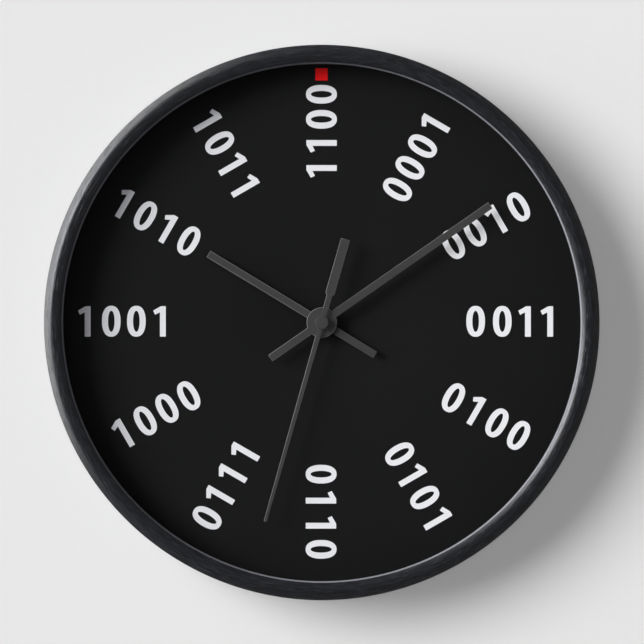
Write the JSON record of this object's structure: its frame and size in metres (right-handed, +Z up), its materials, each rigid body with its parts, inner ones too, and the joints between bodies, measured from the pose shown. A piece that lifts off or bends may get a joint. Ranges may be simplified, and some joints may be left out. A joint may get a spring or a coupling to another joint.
{
  "type": "wall clock",
  "caption": "Round wall clock with binary hour numbers on a black dial, a dark half-round wooden ring frame, a clear lens and a battery quartz movement with its whole gear train.",
  "frame": {"origin": "the point in the wall plane where the nail carries the hanger's keyhole slot, 52 mm above the dial axis", "axes": "+Z up, +Y into the wall, so the dial faces -Y; the wall is the plane y = 0 and the dial axis lies along Y"},
  "size_m": [0.254, 0.04, 0.254],
  "materials": {
    "stained_wood": "black stained, satin",
    "clear_acrylic": "clear, polished",
    "grey_gasket": "soft, matt",
    "grey_plastic": "satin",
    "dial_print": "black print, satin",
    "numeral_print": "white print, satin",
    "marker_print": "red print, satin",
    "fibreboard": "raw fibreboard",
    "zinc_steel": "zinc plated",
    "brass": "turned",
    "black_rubber": "matt",
    "black_plastic": "fine moulded texture",
    "white_plastic": "natural acetal",
    "hand_paint": "dark grey satin paint over aluminium",
    "copper_wire": "enamelled copper wire",
    "ferrite": "sintered, matt",
    "laminate": "phenolic board",
    "epoxy": "glossy blob",
    "cell_jacket": "plain wrapper, glossy"
  },
  "bodies": {
    "clock_case": {"frame_ring": "stained_wood", "lens": "clear_acrylic", "lens_gasket": "grey_gasket", "lens_spacer": "grey_plastic", "dial_sheet": "dial_print", "dial_board": "fibreboard", "retaining_clip_1": "zinc_steel", "retaining_clip_2": "zinc_steel", "retaining_clip_3": "zinc_steel", "retaining_clip_4": "zinc_steel", "clip_screw_1": "zinc_steel", "clip_screw_2": "zinc_steel", "clip_screw_3": "zinc_steel", "clip_screw_4": "zinc_steel", "hanger": "zinc_steel", "rubber_washer": "black_rubber", "brass_washer": "brass", "hex_nut": "brass", "threaded_bushing": "brass", "movement_case": "black_plastic", "movement_cover": "black_plastic", "train_bridge": "white_plastic", "stator": "zinc_steel", "coil_core": "zinc_steel", "core_screw_1": "brass", "core_screw_2": "brass", "coil_bobbin": "white_plastic", "coil_winding": "copper_wire", "circuit_board": "laminate", "timing_chip": "epoxy", "quartz_crystal": "zinc_steel", "negative_contact": "brass", "positive_contact": "brass"},
    "battery": {"battery_cell": "cell_jacket"},
    "rotor": {"rotor_pinion": "white_plastic", "rotor_magnet": "ferrite"},
    "intermediate": {"intermediate_wheel": "white_plastic"},
    "seconds": {"seconds_wheel": "white_plastic", "seconds_arbor": "zinc_steel", "second_hand": "hand_paint", "second_hand_cap": "hand_paint"},
    "third": {"third_wheel": "white_plastic"},
    "centre": {"centre_wheel": "brass", "friction_spring": "zinc_steel"},
    "minutes": {"cannon_pinion": "brass", "minute_collet": "brass", "minute_hand": "hand_paint"},
    "setting": {"minute_wheel": "white_plastic", "setting_knob": "black_plastic"},
    "hours": {"hour_wheel": "white_plastic", "hour_collet": "brass", "hour_hand": "hand_paint"}
  },
  "joints": [
    {"name": "seconds_spin", "type": "hinge", "parent": "clock_case", "child": "seconds", "pos_m": [0, -0.032, -0.052], "axis": [0, 1, 0], "continuous": true},
    {"name": "rotor_spin", "type": "hinge", "parent": "clock_case", "child": "rotor", "pos_m": [0.0052, -0.008, -0.04025], "axis": [0, 1, 0], "continuous": true},
    {"name": "intermediate_spin", "type": "hinge", "parent": "clock_case", "child": "intermediate", "pos_m": [0, -0.008, -0.04325], "axis": [0, 1, 0], "continuous": true},
    {"name": "third_spin", "type": "hinge", "parent": "clock_case", "child": "third", "pos_m": [-0.0085, -0.0108, -0.052], "axis": [0, 1, 0], "continuous": true},
    {"name": "centre_spin", "type": "hinge", "parent": "clock_case", "child": "centre", "pos_m": [0, -0.0131, -0.052], "axis": [0, 1, 0], "continuous": true},
    {"name": "minutes_spin", "type": "hinge", "parent": "clock_case", "child": "minutes", "pos_m": [0, -0.03, -0.052], "axis": [0, 1, 0], "continuous": true},
    {"name": "setting_spin", "type": "hinge", "parent": "clock_case", "child": "setting", "pos_m": [0.009, -0.002, -0.052], "axis": [0, 1, 0], "continuous": true},
    {"name": "hours_spin", "type": "hinge", "parent": "clock_case", "child": "hours", "pos_m": [0, -0.028, -0.052], "axis": [0, 1, 0], "continuous": true},
    {"name": "battery_slide", "type": "slide", "parent": "clock_case", "child": "battery", "axis": [0, 1, 0], "range_m": [0, 0.025]}
  ],
  "couplings": [
    {"joint": "rotor_spin", "follows": "seconds_spin", "ratio": 30},
    {"joint": "intermediate_spin", "follows": "seconds_spin", "ratio": -6},
    {"joint": "third_spin", "follows": "seconds_spin", "ratio": -0.13333},
    {"joint": "centre_spin", "follows": "seconds_spin", "ratio": 0.016667},
    {"joint": "setting_spin", "follows": "minutes_spin", "ratio": -0.33333},
    {"joint": "hours_spin", "follows": "minutes_spin", "ratio": 0.083333}
  ]
}
